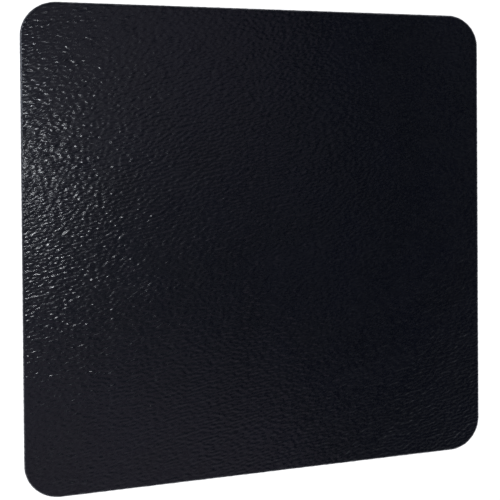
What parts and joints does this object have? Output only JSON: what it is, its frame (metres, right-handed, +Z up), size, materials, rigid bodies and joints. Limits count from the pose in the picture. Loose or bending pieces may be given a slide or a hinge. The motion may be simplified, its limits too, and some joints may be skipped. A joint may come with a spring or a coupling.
{
  "type": "rigid floor mat",
  "caption": "Flat square floor mat, a stiff board with rounded corners: a black grained steel face rolled over the rim and hemmed under round a mineral-fibre core and a thin back sheet.",
  "frame": {"origin": "centre of the underside, on the floor plane", "axes": "+Z up through the grained face, which is square to it; X and Y run along the two pairs of straight sides"},
  "size_m": [0.9144, 0.9144, 0.0127],
  "materials": {
    "grained_black_paint": "satin",
    "mineral_fibre": "matte",
    "galvanised_steel": "satin"
  },
  "bodies": {
    "root": {"face_pan": "grained_black_paint", "core_board": "mineral_fibre", "back_sheet": "galvanised_steel"}
  },
  "joints": []
}
